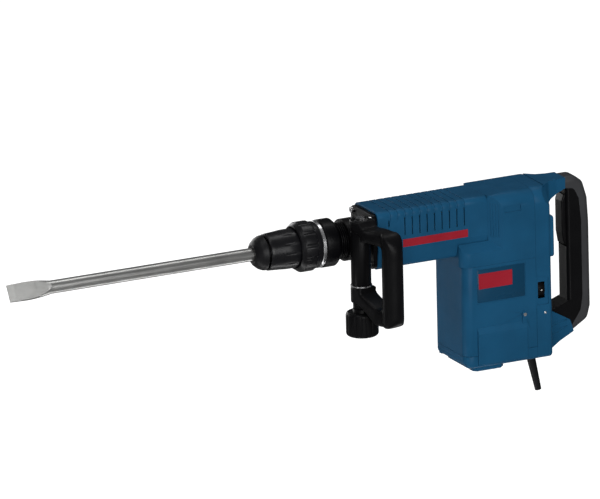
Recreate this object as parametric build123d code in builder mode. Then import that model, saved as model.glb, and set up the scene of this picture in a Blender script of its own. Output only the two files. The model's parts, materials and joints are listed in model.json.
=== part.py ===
"""Electric demolition hammer with an SDS-max class chuck, a loop handle and a side D-handle.

Millimetres, +Z up. The origin is on the motor axis, on the flat foot under the motor housing.
The tool axis runs along X at AXIS_Z, the chisel points to -X and the loop handle is at +X.
"""
from build123d import *
from math import acos, cos, pi, radians, sin, tan
import os

os.makedirs("parts", exist_ok=True)

# ---------------------------------------------------------------- driving dimensions
AXIS_Z = 228.0              # height of the tool axis above the foot
WALL = 3.0                  # plastic housing wall
GAP = 0.35                  # running gap between parts of different bodies

NOSE_X = -393.0             # front of the dust cap
TIP_X = -802.0              # chisel tip
SHAFT_R = 10.2              # chisel shaft
SHANK_R = 9.0               # chisel shank inside the holder
SHANK_END_X = -303.0        # rear end of the shank
BLADE_WIDTH = 27.0
BLADE_TURN = -30.0          # angle of the blade about the tool axis, degrees

NECK_R = 25.5
BARREL_X0, BARREL_X1 = -199.0, -13.0
BARREL_HALF = 40.0
BARREL_Z0, BARREL_Z1 = 181.5, 273.0
NECK_BOLTS = [(-31, 263), (31, 263), (-27, 192), (27, 192)]     # (y, z) of the bolts

BODY_HALF = 54.0            # half width of the motor and gear housings
BODY_X0, BODY_X1 = -61.0, 60.5
BODY_CORNER = 22.0          # radius of the upper long edges of the rear body
SEAM_Z = 168.0              # seam between the motor housing and the gear housing
COVER_SEAM_Z = 27.0         # seam of the bottom cover
BOTTOM_Z = 7.0              # underside of the bottom cover, above the foot
TOP_Z = 275.0
REAR_X = 88.0               # rear face of the rear shell
SCREW_POSTS = [(-50.5, -45), (-50.5, 45), (50, -45), (50, 45)]  # (x, y) of the housing screws

CRANK_X = -32.4             # crank axis
CRANK_RADIUS = 10.0
ROD_LENGTH = 60.0
MODULE = 1.2                # gear tooth module
PINION_TEETH, GEAR_TEETH = 9, 45
GEAR_Z0, GEAR_Z1 = 211.0, 219.0
ROD_Z0, ROD_Z1 = 223.0, 233.0
BORE_R = 21.0               # percussion cylinder

BOLT_X, BOLT_Y = -231.3, -45.0      # axis of the side handle bolt
HANDLE_TURN = -78.0                 # direction of the D-handle seen from above, degrees

HANDLE_JOINT_X = 131.0      # joint between the rear shell and the grip, at the top
HANDLE_JOINT_LOW = 258.5    # underside of the arm at that joint
GRIP_FRONT, GRIP_BACK = 133.0, 172.5    # inner and outer faces of the loop handle's grip
GRIP_HALF = 18.0            # half width of the grip
TRIGGER_HALF = 12.0
TRIGGER_PIN_X, TRIGGER_PIN_Z = 138.0, 243.0
SWITCH_X0, SWITCH_X1 = 143.4, 152.5     # switch behind the trigger

OUTSIDE = 60.0              # beyond both sides of the housings, for cutters
ABOVE = 290.0               # above everything, for cutters

TOOL_AXIS = Axis((0, 0, AXIS_Z), (1, 0, 0))


# ---------------------------------------------------------------- shared shapes
def turn(outline, mode=Mode.ADD):
    """Body of revolution about the tool axis from (x, radius) corners."""
    with BuildSketch(Plane.XZ) as profile:
        with BuildLine():
            Polyline(*[(x, AXIS_Z + r) for x, r in outline], close=True)
        make_face()
    revolve(profile.sketch, axis=TOOL_AXIS, mode=mode)


def tube(x0, x1, outer, inner, mode=Mode.ADD):
    """Plain ring or tube about the tool axis."""
    turn([(x0, inner), (x1, inner), (x1, outer), (x0, outer)], mode=mode)


def post(x, y, z0, z1, outer, inner=0.0, mode=Mode.ADD):
    """Upright cylinder, or an upright tube when inner is given."""
    with BuildSketch(Plane.XY.offset(z0)) as profile:
        with Locations((x, y)):
            Circle(outer)
            if inner:
                Circle(inner, mode=Mode.SUBTRACT)
    extrude(profile.sketch, amount=z1 - z0, mode=mode)


def rod(centre, outer, length, axis, inner=0.0, mode=Mode.ADD):
    """Cylinder or tube centred on a point, along any axis."""
    with BuildSketch(Plane(origin=centre, z_dir=axis)) as profile:
        Circle(outer)
        if inner:
            Circle(inner, mode=Mode.SUBTRACT)
    extrude(profile.sketch, amount=length / 2, both=True, mode=mode)


def around_tool(x, radius, angle):
    """Place on a circle about the tool axis; local +Z points outwards, angle 0 is up."""
    across = -radius * sin(radians(angle))
    return Location((x, across, AXIS_Z + radius * cos(radians(angle))), (angle, 0, 0))


def block(x0, x1, y0, y1, z0, z1, mode=Mode.ADD):
    """Square block between two corners."""
    with Locations(((x0 + x1) / 2, (y0 + y1) / 2, (z0 + z1) / 2)):
        Box(x1 - x0, y1 - y0, z1 - z0, mode=mode)


def side_plate(outline, y0, y1, mode=Mode.ADD):
    """Plate with an (x, z) outline, from y0 to y1."""
    with BuildSketch(Plane.XZ.offset(-y0)) as profile:
        with BuildLine():
            Polyline(*outline, close=True)
        make_face()
    extrude(profile.sketch, amount=y0 - y1, mode=mode)


def plan_slab(outline, z0, z1, mode=Mode.ADD):
    """Slab with an (x, y) outline, from z0 to z1."""
    with BuildSketch(Plane.XY.offset(z0)) as profile:
        with BuildLine():
            Polyline(*outline, close=True)
        make_face()
    extrude(profile.sketch, amount=z1 - z0, mode=mode)


def barrel_section(x, grow=0.0):
    """Cross-section of the barrel at x: flat top, upright sides, sides drawn in below."""
    half = BARREL_HALF + grow
    low = BARREL_Z0 - grow
    high = BARREL_Z1 + grow
    with BuildSketch(Plane(origin=(x, 0, 0), x_dir=(0, 1, 0), z_dir=(1, 0, 0))) as section:
        with BuildLine():
            Polyline(
                (-half, high), (half, high), (half, 212), (half - 6, low), (6 - half, low),
                (-half, 212), close=True,
            )
        make_face()
        fillet(section.vertices().group_by(Axis.Y)[-1], 10 + grow)
        fillet(section.vertices().group_by(Axis.Y)[0], 9 + grow)
    return section.sketch


def body_block(x0, x1, z0, z1, grow=0.0, mode=Mode.ADD):
    """Length of the wide rear body between two heights, or its hollow when grow is negative."""
    half = BODY_HALF + grow
    with BuildSketch(Plane(origin=(x0, 0, 0), x_dir=(0, 1, 0), z_dir=(1, 0, 0))) as section:
        with BuildLine():
            Polyline((-half, BOTTOM_Z - grow), (half, BOTTOM_Z - grow), (half, TOP_Z + grow),
                     (-half, TOP_Z + grow), close=True)
        make_face()
        fillet(section.vertices().group_by(Axis.Y)[-1], BODY_CORNER + grow)
        fillet(section.vertices().group_by(Axis.Y)[0], 6 + grow)
        with Locations((0, (z0 + z1) / 2)):
            Rectangle(300, z1 - z0, mode=Mode.INTERSECT)
    extrude(section.sketch, amount=x1 - x0, mode=mode)


def gear_outline(teeth, module, thickness_share):
    """Corners of an involute gear; thickness_share is the tooth's share of the pitch."""
    pitch_r = module * teeth / 2
    base_r = pitch_r * cos(radians(20))
    tip_r = pitch_r + module
    root_r = max(pitch_r - 1.25 * module, 0.5)
    half_pitch = pi * thickness_share / teeth
    flare = tan(radians(20)) - radians(20)
    points = []
    for tooth in range(teeth):
        middle = 2 * pi * tooth / teeth
        flank = []
        for step in range(4):
            r = max(base_r, root_r) + (tip_r - max(base_r, root_r)) * step / 3
            roll_angle = acos(min(1.0, base_r / r))
            flank.append((r, half_pitch + flare - (tan(roll_angle) - roll_angle)))
        if base_r > root_r:
            flank.insert(0, (root_r, flank[0][1]))
        both = [(r, -a) for r, a in flank] + [(r, a) for r, a in reversed(flank)]
        points += [(r * cos(middle + a), r * sin(middle + a)) for r, a in both]
    return points


def coil(radius, wire, height, turns, centre, axis):
    """Compression spring: one helix swept with a round wire."""
    with BuildLine() as path:
        Helix(pitch=height / turns, height=height, radius=radius, center=centre, direction=axis)
    with BuildSketch(Plane(origin=path.line @ 0, z_dir=path.line % 0)) as section:
        Circle(wire)
    sweep(section.sketch, path=path.line)


def finish(name, body):
    """Label a finished piece and write its STEP file."""
    body.part.label = name
    export_step(body.part, f"parts/{name}.step")


# ---------------------------------------------------------------- chisel
# Round shaft, flared flat blade, SDS-max shank with two closed slots and three open grooves.
blade_plane = Plane(origin=(0, 0, AXIS_Z), x_dir=(1, 0, 0), z_dir=around_tool(0, 1, BLADE_TURN - 90)
                    .position - Vector(0, 0, AXIS_Z))
edge_plane = Plane(origin=(0, 0, AXIS_Z), x_dir=(1, 0, 0), z_dir=blade_plane.y_dir)
with BuildPart() as chisel:
    turn([
        (TIP_X, 0), (TIP_X, 15), (-762, 15), (-731, SHAFT_R), (-388.6, SHAFT_R),
        (-387.4, SHANK_R), (SHANK_END_X - 1, SHANK_R), (SHANK_END_X, SHANK_R - 1), (SHANK_END_X, 0),
    ])
    with BuildSketch(blade_plane) as blade_width:
        with BuildLine():
            half = BLADE_WIDTH / 2
            Polyline(
                (TIP_X, -half), (-772, -half), (-731, -11.2), (SHANK_END_X, -11.2),
                (SHANK_END_X, 11.2), (-731, 11.2), (-772, half), (TIP_X, half), close=True,
            )
        make_face()
    extrude(blade_width.sketch, amount=16, both=True, mode=Mode.INTERSECT)
    with BuildSketch(edge_plane) as blade_edge:
        with BuildLine():
            Polyline(
                (TIP_X, -0.8), (-792, -2.8), (-733, -10.6), (-731, -11.2), (SHANK_END_X, -11.2),
                (SHANK_END_X, 11.2), (-731, 11.2), (-733, 10.6), (-792, 2.8), (TIP_X, 0.8), close=True,
            )
        make_face()
    extrude(blade_edge.sketch, amount=16, both=True, mode=Mode.INTERSECT)
    with Locations(*[around_tool(-335.5, SHANK_R, BLADE_TURN + side) for side in (0, 180)]):
        Box(28, 6, 5, mode=Mode.SUBTRACT)
    with Locations(*[around_tool(-333, SHANK_R, BLADE_TURN + side) for side in (70, 120, 270)]):
        Box(62, 3.4, 3, mode=Mode.SUBTRACT)
finish("chisel", chisel)

# ---------------------------------------------------------------- chuck, turning with the holder
with BuildPart() as dust_cap:
    turn([
        (NOSE_X, 10.6), (NOSE_X, 14.5), (-390, 19), (-384, 24), (-378, 26.6), (-375, 27),
        (-375, 20.3), (-386, 20.3), (-386, 13), (-389, 10.6),
    ])
finish("dust_cap", dust_cap)

with BuildPart() as tool_holder:
    turn([
        (-385.6, SHANK_R + 0.05), (-385.6, 20), (-372, 20), (-372, 16.2), (-314.5, 16.2),
        (-314.5, 18.6), (-262, 18.6), (-262, 13.6), (SHANK_END_X + 1, 13.6),
        (SHANK_END_X + 1, SHANK_R + 0.05),
    ])
    with Locations(*[around_tool(-345.6, 13, BLADE_TURN + side) for side in (0, 180)]):
        Box(6, 5.6, 9, mode=Mode.SUBTRACT)
finish("tool_holder", tool_holder)

# Two rollers in the holder windows; they reach into the closed slots of the shank.
with BuildPart() as lock_rollers:
    for side in (0, 180):
        seat = around_tool(-345.6, 10.4, BLADE_TURN + side)
        roller_axis = around_tool(0, 1, BLADE_TURN + side + 90).position - Vector(0, 0, AXIS_Z)
        rod(seat.position, 2.6, 5.0, roller_axis)
finish("lock_rollers", lock_rollers)

with BuildPart() as locking_sleeve:
    turn([
        (-371.6, 27.2), (-370, 28.2), (-352, 29.4), (-340, 30.4), (-321, 30.4), (-321, 27.0),
        (-341, 27.0), (-341, 16.6), (-350, 16.6), (-350, 25.0), (-371.6, 25.0),
    ])
    for notch in range(12):
        spot = around_tool(-341, 32.6, 30 * notch)
        rod(spot.position, 3.0, 19, (1, 0, 0), mode=Mode.SUBTRACT)
finish("locking_sleeve", locking_sleeve)

with BuildPart() as sleeve_spring:
    coil(20.5, 1.1, 24.0, 5, (-339.8, 0, AXIS_Z), (1, 0, 0))
finish("sleeve_spring", sleeve_spring)

with BuildPart() as vario_ring:
    turn([
        (-323.5, 32.2), (-323.5, 33.6), (-316, 38.7), (-299, 38.7), (-295.5, 36.0), (-289, 36.0),
        (-289, 18.65), (-314, 18.65), (-314, 25.5), (-308, 25.5), (-308, 32.2),
    ])
    for notch in range(12):
        spot = around_tool(-308, 41.4, 30 * notch + 15)
        rod(spot.position, 4.0, 40, (1, 0, 0), mode=Mode.SUBTRACT)
finish("vario_ring", vario_ring)

# ---------------------------------------------------------------- neck, fixed to the crankcase
with BuildPart() as ratchet_ring:
    turn([
        (-288.6, 20.0), (-288.6, 35.2), (-287.6, 36.2), (-283.4, 36.2), (-282.4, 35.2), (-282.4, 20.0),
    ])
finish("ratchet_ring", ratchet_ring)

with BuildPart() as neck:
    turn([
        (-282.3, 19.0), (-282.3, 35.2), (-280.5, 37.0), (-261, 37.0), (-257, 33), (-255, NECK_R),
        (-206, NECK_R), (-206, 30), (-199.5, 30), (-199.5, 24.2), (-208.2, 24.2), (-208.2, 17.0),
        (-261, 17.0), (-261, 19.0),
    ])
    for rib_x in (-253.6, -250.4, -247.2, -244.0):
        tube(rib_x, rib_x + 1.6, 28.5, NECK_R - 1)
    with BuildSketch(Plane(origin=(-206, 0, 0), x_dir=(0, 1, 0), z_dir=(1, 0, 0))) as flange:
        with Locations((0, 227)):
            RectangleRounded(76, 86, 9)
        with Locations((0, AXIS_Z)):
            Circle(24.2, mode=Mode.SUBTRACT)
    extrude(flange.sketch, amount=6.5)
    for y, z in NECK_BOLTS:
        rod((-203, y, z), 2.65, 20, (1, 0, 0), mode=Mode.SUBTRACT)
finish("neck", neck)

with BuildPart() as neck_bolts:
    for y, z in NECK_BOLTS:
        rod((-208.0, y, z), 4.6, 4.0, (1, 0, 0))
        rod((-196.5, y, z), 2.6, 19.2, (1, 0, 0))
        with BuildSketch(Plane(origin=(-210.2, y, z), z_dir=(1, 0, 0))) as socket:
            RegularPolygon(2.4, 6)
        extrude(socket.sketch, amount=2.4, mode=Mode.SUBTRACT)
finish("neck_bolts", neck_bolts)

# ---------------------------------------------------------------- percussion mechanism
with BuildPart() as cylinder_tube:
    tube(-208, -89, 24.0, BORE_R)
finish("cylinder_tube", cylinder_tube)

with BuildPart() as striker:
    turn([
        (-295, 0), (-295, 8.0), (-294, 8.7), (-286, 8.7), (-286, 13.3), (-255.5, 13.3), (-250.5, 16.9),
        (-249, 16.9), (-249, 14.6), (-245, 14.6), (-245, 16.9), (-232, 16.9), (-228, 9.5), (-206, 9.5),
        (-205, 8.5), (-205, 0),
    ])
finish("striker", striker)

with BuildPart() as striker_ring:
    tube(-248.8, -245.2, 16.85, 14.6)
finish("striker_ring", striker_ring)

with BuildPart() as ram:
    turn([
        (-176, 0), (-176, 11), (-174, 11), (-172, 19), (-172, 20.93), (-160, 20.93), (-160, 18.2),
        (-156, 18.2), (-156, 20.93), (-148, 20.93), (-148, 14), (-164, 12), (-164, 0),
    ])
finish("ram", ram)

with BuildPart() as ram_ring:
    tube(-159.8, -156.2, 20.85, 18.2)
finish("ram_ring", ram_ring)

# The skirt is slotted so that the small eye of the rod passes between its two lugs.
with BuildPart() as piston:
    turn([
        (-122, 0), (-122, 20.8), (-120, 20.8), (-120, 18.2), (-116, 18.2), (-116, 20.8), (-93, 20.8),
        (-93, 0),
    ])
    block(-114, -92, -30, 30, AXIS_Z - 6.5, AXIS_Z + 6.5, mode=Mode.SUBTRACT)
    post(CRANK_X - CRANK_RADIUS - ROD_LENGTH, 0, AXIS_Z - 25, AXIS_Z + 25, 4.6, mode=Mode.SUBTRACT)
finish("piston", piston)

with BuildPart() as piston_ring:
    tube(-119.8, -116.2, 20.95, 18.2)
finish("piston_ring", piston_ring)

ROD_X0 = CRANK_X - CRANK_RADIUS - ROD_LENGTH
ROD_X1 = CRANK_X - CRANK_RADIUS
with BuildPart() as connecting_rod:
    block(ROD_X0, ROD_X1, -4.5, 4.5, ROD_Z0 + 1, ROD_Z1 - 1)
    post(ROD_X0, 0, ROD_Z0, ROD_Z1, 8.0)
    post(ROD_X1, 0, ROD_Z0, ROD_Z1, 9.5)
    post(ROD_X0, 0, ROD_Z0, ROD_Z1, 4.5, mode=Mode.SUBTRACT)
    post(ROD_X1, 0, ROD_Z0, ROD_Z1, 5.05, mode=Mode.SUBTRACT)
finish("connecting_rod", connecting_rod)

with BuildPart() as wrist_pin:
    post(ROD_X0, 0, ROD_Z0 - 0.8, ROD_Z1 + 0.8, 4.5, 2.0)
finish("wrist_pin", wrist_pin)

with BuildPart() as crank_gear:
    with BuildSketch(Plane(origin=(CRANK_X, 0, GEAR_Z0))) as wheel:
        with BuildLine():
            Polyline(*gear_outline(GEAR_TEETH, MODULE, 0.42), close=True)
        make_face()
    extrude(wheel.sketch, amount=GEAR_Z1 - GEAR_Z0)
    post(CRANK_X, 0, 190, GEAR_Z0, 7.5)
    post(CRANK_X - CRANK_RADIUS, 0, GEAR_Z1, ROD_Z1 + 3, 5.0)
    for angle in (-60, 0, 60):
        hole_x = CRANK_X + 17 * cos(radians(angle))
        post(hole_x, 17 * sin(radians(angle)), GEAR_Z0, GEAR_Z1, 5.5, mode=Mode.SUBTRACT)
finish("crank_gear", crank_gear)


def sealed_bearings(name, x, heights, width, outer, inner):
    """Sealed ball bearings round an upright shaft, each with recessed seals between its races."""
    with BuildPart() as bearings:
        for z0 in heights:
            post(x, 0, z0, z0 + width, outer, inner)
            for z in (z0, z0 + width - 0.6):
                seal_outer = outer * 0.76 + inner * 0.24
                post(x, 0, z, z + 0.6, seal_outer, outer + inner - seal_outer, mode=Mode.SUBTRACT)
    finish(name, bearings)


sealed_bearings("crank_bearings", CRANK_X, (190, 201), 8, 15, 7.55)
sealed_bearings("motor_bearing_upper", 0, (189.5,), 8, 13, 5.05)
sealed_bearings("motor_bearing_lower", 0, (13,), 7, 11, 4.05)

with BuildPart() as crankcase:
    block(-92, 28, -31.5, 31.5, 187, 255)
    chamfer(crankcase.faces().sort_by(Axis.Z)[0].edges().filter_by(Axis.X), 5)
    fillet(crankcase.edges().filter_by(Axis.Z), 3)
    block(-86, 24, -29, 29, 209.5, 256, mode=Mode.SUBTRACT)
    tube(-93, -85, 24.0, 0, mode=Mode.SUBTRACT)
    post(CRANK_X, 0, 190, 210, 15, mode=Mode.SUBTRACT)
    post(0, 0, 186, 197.5, 13, mode=Mode.SUBTRACT)
    post(0, 0, 197, 210, 7.6, mode=Mode.SUBTRACT)
finish("crankcase", crankcase)

with BuildPart() as crankcase_lid:
    block(-92, 28, -31.5, 31.5, 255, 258.5)
    fillet(crankcase_lid.edges().filter_by(Axis.Z), 3)
    fillet(crankcase_lid.faces().sort_by(Axis.Z)[-1].edges(), 1)
finish("crankcase_lid", crankcase_lid)

# ---------------------------------------------------------------- motor, upright in the motor housing
with BuildPart() as armature_shaft:
    post(0, 0, 12, 22, 4.0)
    post(0, 0, 22, 197.5, 5.0)
    post(0, 0, 197.5, 209.8, 4.4)
    with BuildSketch(Plane(origin=(0, 0, 209.8))) as pinion:
        with BuildLine():
            Polyline(*gear_outline(PINION_TEETH, MODULE, 0.42), close=True)
        make_face()
    extrude(pinion.sketch, amount=10.4)
finish("armature_shaft", armature_shaft)

with BuildPart() as armature_core:
    post(0, 0, 68, 120, 23.0, 5.0)
    with Locations((0, 0, 94)):
        with PolarLocations(21.6, 16):
            Box(3.4, 2.2, 54, mode=Mode.SUBTRACT)
finish("armature_core", armature_core)

with BuildPart() as armature_windings:
    post(0, 0, 58, 67.9, 19.0, 5.0)
    post(0, 0, 120.1, 129, 19.0, 5.0)
    fillet(armature_windings.edges().filter_by(GeomType.CIRCLE).group_by(SortBy.RADIUS)[-1], 3)
finish("armature_windings", armature_windings)

with BuildPart() as commutator:
    post(0, 0, 34, 56, 14.0, 5.0)
    post(0, 0, 54, 57.5, 16.0, 5.0)
    with Locations((0, 0, 43)):
        with PolarLocations(14, 24):
            Box(1.6, 0.6, 19, mode=Mode.SUBTRACT)
finish("commutator", commutator)

with BuildPart() as fan:
    post(0, 0, 138, 140, 36.0, 5.0)
    post(0, 0, 140, 153, 9.0, 5.0)
    with Locations((0, 0, 145)):
        with PolarLocations(22, 11):
            Box(27, 1.6, 11)
finish("fan", fan)

with BuildPart() as stator_core:
    post(0, 0, 66, 122, 44.0, 24.0)
    for side in (1, -1):
        block(side * 26 - 9, side * 26 + 9, -26, 26, 60, 130, mode=Mode.SUBTRACT)
        block(-50, 50, side * 44 - 3, side * 44 + 3, 60, 130, mode=Mode.SUBTRACT)
finish("stator_core", stator_core)

with BuildPart() as field_coils:
    for side in (1, -1):
        block(side * 29 - 5.5, side * 29 + 5.5, -24, 24, 56, 132)
    post(0, 0, 40, 140, 24.0, mode=Mode.SUBTRACT)
finish("field_coils", field_coils)

with BuildPart() as carbon_brushes:
    for side in (1, -1):
        block(-4, 4, side * 22 - 7.4, side * 22 + 7.4, 39, 49)
finish("carbon_brushes", carbon_brushes)

with BuildPart() as brush_holders:
    for side in (1, -1):
        block(-6, 6, side * 33 - 15, side * 33 + 15, 37, 51)
        block(-4, 4, side * 30 - 18, side * 30 + 18, 39, 49, mode=Mode.SUBTRACT)
        block(-12, 12, side * 44 - 2, side * 44 + 2, 35, 53)
        block(-4, 4, side * 30 - 17, side * 30 + 17, 39, 49, mode=Mode.SUBTRACT)
finish("brush_holders", brush_holders)


# ---------------------------------------------------------------- blue housings
SLOT_X0, SLOT_PITCH = -153.0, 12.6

# Shallow grooves across the top of the barrel that wrap over its corners and end at the slots.
with BuildPart() as barrel_grooves:
    for groove in range(11):
        groove_x = SLOT_X0 + (groove - 2) * SLOT_PITCH
        extrude(barrel_section(groove_x - 1.5, 1.0), amount=3.0)
    block(BARREL_X0, BARREL_X1, -OUTSIDE, OUTSIDE, 150, 258.5, mode=Mode.SUBTRACT)
    extrude(barrel_section(BARREL_X0, -1.1), amount=BARREL_X1 - BARREL_X0, mode=Mode.SUBTRACT)

with BuildPart() as barrel_shell:
    extrude(barrel_section(BARREL_X0), amount=BARREL_X1 - BARREL_X0)
    chamfer(barrel_shell.faces().sort_by(Axis.X)[0].edges(), 0.8)
    extrude(barrel_section(BARREL_X0 - 1, -WALL), amount=BARREL_X1 - BARREL_X0 + 2, mode=Mode.SUBTRACT)
    for y, z in NECK_BOLTS:
        rod((-190, y * 1.05, z), 6.2, 16, (1, 0, 0))
        rod((-190, y, z), 2.65, 20, (1, 0, 0), mode=Mode.SUBTRACT)
    for slot in range(9):
        slot_x = SLOT_X0 + slot * SLOT_PITCH
        block(slot_x - 0.8, slot_x + 0.8, -45, 45, 232, 260, mode=Mode.SUBTRACT)
    add(barrel_grooves.part, mode=Mode.SUBTRACT)
    block(-181, -179, -45, 45, 249, 259, mode=Mode.SUBTRACT)
finish("barrel_shell", barrel_shell)

# The space inside the gear housing below the barrel.
with BuildPart() as gear_cavity:
    body_block(BODY_X0, BODY_X1 + 1, SEAM_Z - 1, 181, grow=-WALL)
    fillet(gear_cavity.edges().filter_by(Axis.Z).group_by(Axis.X)[0], 11)

# The full box behind the barrel: its front corners are slanted down to the barrel's width.
with BuildPart() as upper_box:
    body_block(BARREL_X1, BODY_X1, 185, TOP_Z)
    side_plate([(BARREL_X1 - 1, BARREL_Z1), (BARREL_X1, BARREL_Z1), (12, TOP_Z), (12, ABOVE),
                (BARREL_X1 - 1, ABOVE)], -OUTSIDE, OUTSIDE, mode=Mode.SUBTRACT)
    for side in (1, -1):
        plan_slab([(BARREL_X1 - 1, side * BARREL_HALF), (BARREL_X1, side * BARREL_HALF),
                   (5, side * BODY_HALF), (5, side * OUTSIDE), (BARREL_X1 - 1, side * OUTSIDE)],
                  184, ABOVE, mode=Mode.SUBTRACT)

# Wide rear body: a cradle under the barrel in front, a slanted shoulder, and the box behind.
with BuildPart() as gear_housing:
    body_block(BODY_X0 - 3, BODY_X1, SEAM_Z + 0.3, 190)
    with BuildSketch(Plane.YZ.offset(BODY_X0 - 3)) as shoulder:
        with BuildLine():
            Polyline((-BODY_HALF, 189.9), (-41, 203), (41, 203), (BODY_HALF, 189.9), close=True)
        make_face()
    extrude(shoulder.sketch, amount=69)
    with BuildSketch(Plane.XY.offset(SEAM_Z)) as front_corners:
        with Locations(((BODY_X0 - 3 + BODY_X1) / 2, 0)):
            Rectangle(BODY_X1 - BODY_X0 + 3, 2 * BODY_HALF)
        fillet(front_corners.vertices().group_by(Axis.X)[0], 14)
    extrude(front_corners.sketch, amount=60, mode=Mode.INTERSECT)
    add(upper_box.part)
    add(gear_cavity.part, mode=Mode.SUBTRACT)
    body_block(8, BODY_X1 + 1, 180.9, TOP_Z, grow=-WALL, mode=Mode.SUBTRACT)
    plan_slab([(-20, -34.5), (-9.5, -37), (8.1, -50), (8.1, 50), (-9.5, 37), (-20, 34.5)], 180.9, 259,
              mode=Mode.SUBTRACT)
    extrude(barrel_section(BODY_X0 - 4, 0.02), amount=BARREL_X1 - BODY_X0 + 4, mode=Mode.SUBTRACT)
    extrude(barrel_section(BARREL_X1 - 1, -WALL), amount=22, mode=Mode.SUBTRACT)
    for side in (1, -1):
        side_plate([(9, 246.5), (37, 246.5), (37, 257), (13, 257), (9, 254)],
                   side * (BODY_HALF - 1.5), side * (BODY_HALF + 1), mode=Mode.SUBTRACT)
finish("gear_housing", gear_housing)

# The space inside the motor housing and its bottom cover.
with BuildPart() as motor_cavity:
    body_block(BODY_X0 + WALL, BODY_X1 + 1, BOTTOM_Z, SEAM_Z + 14, grow=-WALL)
    fillet(motor_cavity.edges().filter_by(Axis.Z).group_by(Axis.X)[0], 11)

with BuildPart() as motor_housing:
    body_block(BODY_X0, BODY_X1, COVER_SEAM_Z, SEAM_Z)
    fillet(motor_housing.edges().filter_by(Axis.Z).group_by(Axis.X)[0], 14)
    add(motor_cavity.part, mode=Mode.SUBTRACT)
    for side in (1, -1):
        side_plate([(-41, 109), (43, 109), (43, 164), (-41, 164)],
                   side * (BODY_HALF - 0.8), side * (BODY_HALF + 1), mode=Mode.SUBTRACT)
        side_plate([(-30, 36), (32, 36), (32, 62), (-30, 62)],
                   side * (BODY_HALF - 5), side * (BODY_HALF + 1), mode=Mode.SUBTRACT)
        rod((39, side * 52, 82), 1.65, 8, (0, 1, 0), mode=Mode.SUBTRACT)
    for x, y in SCREW_POSTS:
        post(x, y, COVER_SEAM_Z, SEAM_Z, 6.6)
        post(x, y, COVER_SEAM_Z - 1, SEAM_Z + 1, 2.1, mode=Mode.SUBTRACT)
finish("motor_housing", motor_housing)

with BuildPart() as bottom_cover:
    body_block(BODY_X0, BODY_X1, BOTTOM_Z, COVER_SEAM_Z - 0.4)
    fillet(bottom_cover.edges().filter_by(Axis.Z).group_by(Axis.X)[0], 14)
    add(motor_cavity.part, mode=Mode.SUBTRACT)
    post(0, 0, BOTTOM_Z + 2, 20, 14)
    post(0, 0, 12, 21, 11, mode=Mode.SUBTRACT)
    plan_slab([(-45, -41), (-39, -47), (2, -47), (8, -41), (8, 41), (2, 47), (-39, 47), (-45, 41)],
              0, BOTTOM_Z + 1)
    chamfer(bottom_cover.faces().sort_by(Axis.Z)[0].edges(), 1.5)
    for x, y in SCREW_POSTS:
        post(x, y, BOTTOM_Z + 2, COVER_SEAM_Z - 0.4, 6.4)
        post(x, y, -1, COVER_SEAM_Z, 2.1, mode=Mode.SUBTRACT)
        post(x, y, -1, BOTTOM_Z + 3, 4.1, mode=Mode.SUBTRACT)
finish("bottom_cover", bottom_cover)

# Covers over the carbon brushes, one on each side, proud of the housing, with a sloped top
# edge and a lug for the cover screw.
COVER_PROUD = 4.2
for cover_name, side in (("side_cover_left", -1), ("side_cover_right", 1)):
    with BuildPart() as side_cover:
        side_plate([(-41, 13), (43, 13), (43, 71), (-41, 71)],
                   side * BODY_HALF, side * (BODY_HALF + COVER_PROUD))
        outer_face = side_cover.faces().sort_by(Axis.Y)[0 if side < 0 else -1]
        fillet(outer_face.edges().sort_by(Axis.Z)[:-1], 1.4)
        with BuildSketch(Plane.YZ.offset(-50)) as sloped_top:
            with BuildLine():
                Polyline((side * (BODY_HALF + 0.4), 71), (side * (BODY_HALF + COVER_PROUD), 61.5),
                         (side * (BODY_HALF + 9), 61.5), (side * (BODY_HALF + 9), 71.1),
                         (side * (BODY_HALF + 0.4), 71.1), close=True)
            make_face()
        extrude(sloped_top.sketch, amount=100, mode=Mode.SUBTRACT)
        side_plate([(35, 64), (43, 64), (43, 84), (41, 87), (37, 87), (35, 84)],
                   side * BODY_HALF, side * (BODY_HALF + 2.0))
        rod((39, side * BODY_HALF, 82), 1.65, 12, (0, 1, 0), mode=Mode.SUBTRACT)
        side_plate([(-29, 37), (31, 37), (31, 61), (-29, 61)], side * (BODY_HALF - 3), side * BODY_HALF)
    finish(cover_name, side_cover)

# Plain coloured plates: one in each recess of the motor housing, one stripe on each barrel flank.
with BuildPart() as badge_plates:
    for side in (1, -1):
        side_plate([(-157, 214), (-47, 214), (-47, 226), (-157, 226)],
                   side * BARREL_HALF, side * (BARREL_HALF + 0.5))
        side_plate([(-37, 132), (20, 132), (20, 156), (-37, 156)],
                   side * (BODY_HALF - 0.8), side * BODY_HALF)
finish("badge_plates", badge_plates)

WHEEL_X0, WHEEL_X1 = 64.2, 75.0
WHEEL_Y, WHEEL_Z, WHEEL_R = -41.5, 115.0, 12.5


def shoulder_plane(side, inset):
    """Plane that cuts off an upper rear corner of the rear shell, moved in by inset."""
    corner = Vector(66, side * BODY_HALF, TOP_Z)
    back_edge = Vector(REAR_X, side * 30, TOP_Z)
    low_edge = Vector(REAR_X, side * BODY_HALF, 240)
    outwards = (back_edge - corner).cross(low_edge - corner).normalized() * side
    return Plane(origin=corner - outwards * inset, z_dir=outwards)


with BuildPart() as rear_cavity:
    body_block(BODY_X1, REAR_X - WALL, BOTTOM_Z, TOP_Z, grow=-WALL)
    for side in (1, -1):
        split(bisect_by=shoulder_plane(side, WALL), keep=Keep.BOTTOM)

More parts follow.
